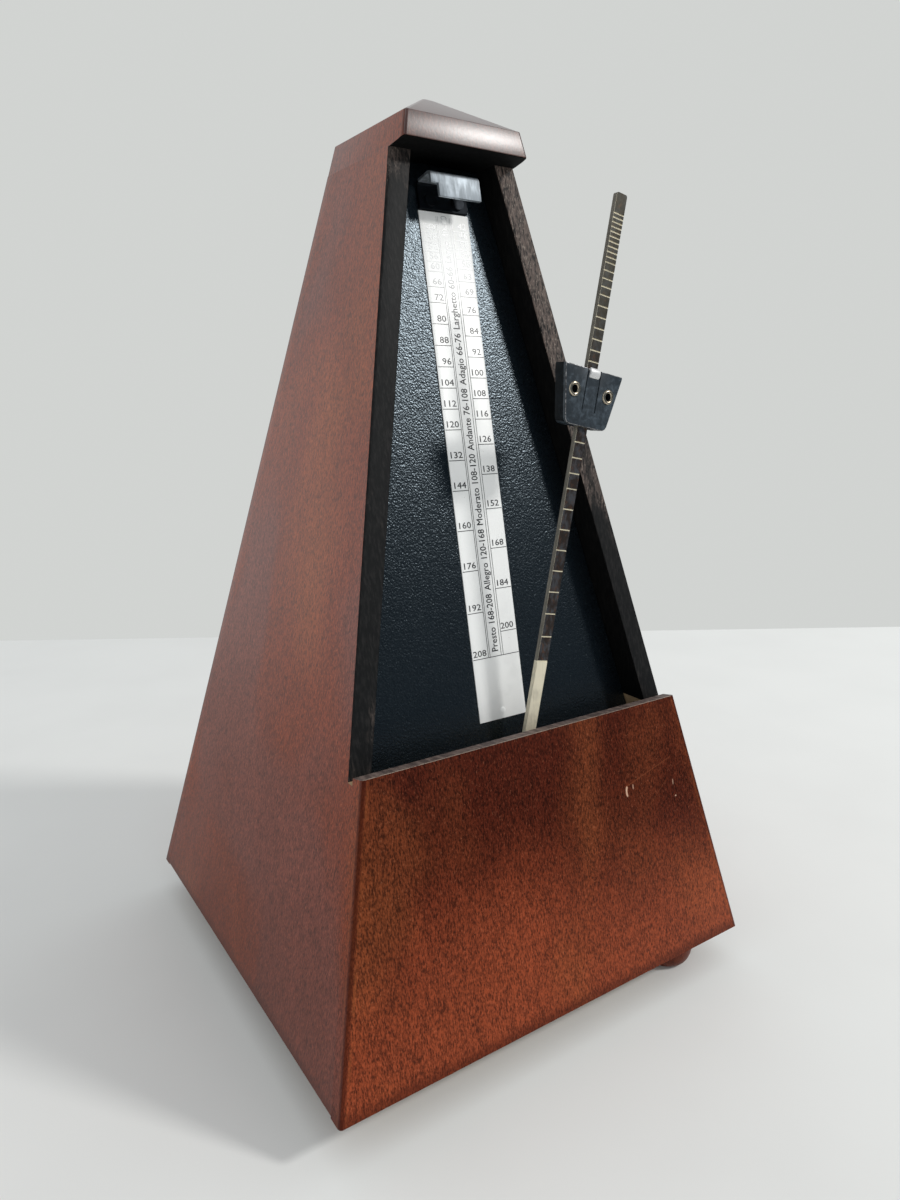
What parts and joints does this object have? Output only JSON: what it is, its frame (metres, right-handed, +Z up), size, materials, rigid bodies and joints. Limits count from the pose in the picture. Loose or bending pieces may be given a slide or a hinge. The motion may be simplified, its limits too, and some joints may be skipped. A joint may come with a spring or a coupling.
{
  "type": "metronome",
  "caption": "Pyramid wooden metronome with a swinging pendulum rod, sliding tempo weight, graduated dial and a winding clockwork movement.",
  "frame": {"origin": "on the floor plane that the three soles share, midway between the outer faces of the case in width and depth", "axes": "+X toward the winding key, -Y toward the dial and the front panel, +Z up"},
  "size_m": [0.1383, 0.1254, 0.224],
  "materials": {
    "wood": "reddish brown mahogany, satin lacquer",
    "raw_wood": "plain unlacquered wood",
    "steel": "plain steel",
    "brass": "turned brass",
    "blued_steel": "blued hardened steel",
    "plate_paint": "black leather-grain paint",
    "scale_enamel": "white gloss enamel with black figures",
    "aluminium": "bright sheet aluminium",
    "dark_steel": "dark patina with bright cut marks",
    "bob_iron": "dark paint on rough cast metal",
    "black_lacquer": "black lacquer, satin",
    "spring_steel": "bright spring steel",
    "nickel": "nickel plate"
  },
  "bodies": {
    "case": {"left_side_panel": "wood", "right_side_panel": "wood", "back_panel": "wood", "front_panel": "wood", "top_cap": "wood", "base_board": "raw_wood", "glue_blocks": "raw_wood", "base_screws": "steel", "front_right_foot": "wood", "back_right_foot": "wood", "left_foot": "wood", "foot_screws": "steel", "dial_plate": "plate_paint", "plate_battens": "raw_wood", "scale_strip": "scale_enamel", "strip_pins": "steel", "rod_clip": "aluminium", "clip_screws": "steel", "key_escutcheon": "nickel", "movement_chassis": "steel", "chassis_screws": "brass", "right_frame_plate": "steel", "frame_pillars": "brass", "pillar_screws": "blued_steel", "axle_bushes": "brass", "mainspring": "blued_steel"},
    "pendulum": {"pendulum_axle": "steel", "pendulum_rod": "dark_steel", "rod_hub": "brass", "bob": "bob_iron", "bob_rivet": "steel", "front_pallet": "blued_steel", "rear_pallet": "blued_steel", "axle_collar": "brass"},
    "weight": {"weight_body": "black_lacquer", "weight_cover": "black_lacquer", "weight_spring": "spring_steel", "weight_eyelets": "brass"},
    "great_train": {"great_wheel": "brass", "great_wheel_washer": "steel", "click_stud": "blued_steel", "click_spring": "blued_steel"},
    "click": {"click": "steel"},
    "winder": {"winding_arbor": "steel", "ratchet_wheel": "steel", "winding_key": "nickel"},
    "intermediate": {"intermediate_arbor": "steel", "intermediate_pinion": "steel", "intermediate_wheel": "brass"},
    "escapement": {"escape_arbor": "steel", "escape_pinion": "steel", "escape_wheel": "brass"}
  },
  "joints": [
    {"name": "pendulum_swing", "type": "hinge", "parent": "case", "child": "pendulum", "pos_m": [0, -0.04194, 0.05988], "axis": [0, 1, 0], "range_deg": [-28.7, 7.3]},
    {"name": "weight_slide", "type": "slide", "parent": "pendulum", "child": "weight", "axis": [0.1857, 0, 0.9826], "range_m": [-0.06948, 0.03473]},
    {"name": "great_wheel_spin", "type": "hinge", "parent": "case", "child": "great_train", "pos_m": [0, 0.00628, 0.03649], "axis": [1, 0, 0], "continuous": true},
    {"name": "intermediate_spin", "type": "hinge", "parent": "case", "child": "intermediate", "pos_m": [0, -0.00924, 0.04789], "axis": [1, 0, 0], "continuous": true},
    {"name": "escape_spin", "type": "hinge", "parent": "case", "child": "escapement", "pos_m": [0, -0.02164, 0.04398], "axis": [1, 0, 0], "continuous": true},
    {"name": "winding_turn", "type": "hinge", "parent": "great_train", "child": "winder", "pos_m": [0, 0.00628, 0.03649], "axis": [1, 0, 0], "continuous": true},
    {"name": "click_lift", "type": "hinge", "parent": "great_train", "child": "click", "pos_m": [0, 0.0013, 0.04585], "axis": [1, 0, 0], "range_deg": [0, 8]}
  ],
  "couplings": [
    {"joint": "intermediate_spin", "follows": "great_wheel_spin", "ratio": -6},
    {"joint": "escape_spin", "follows": "great_wheel_spin", "ratio": 33}
  ]
}
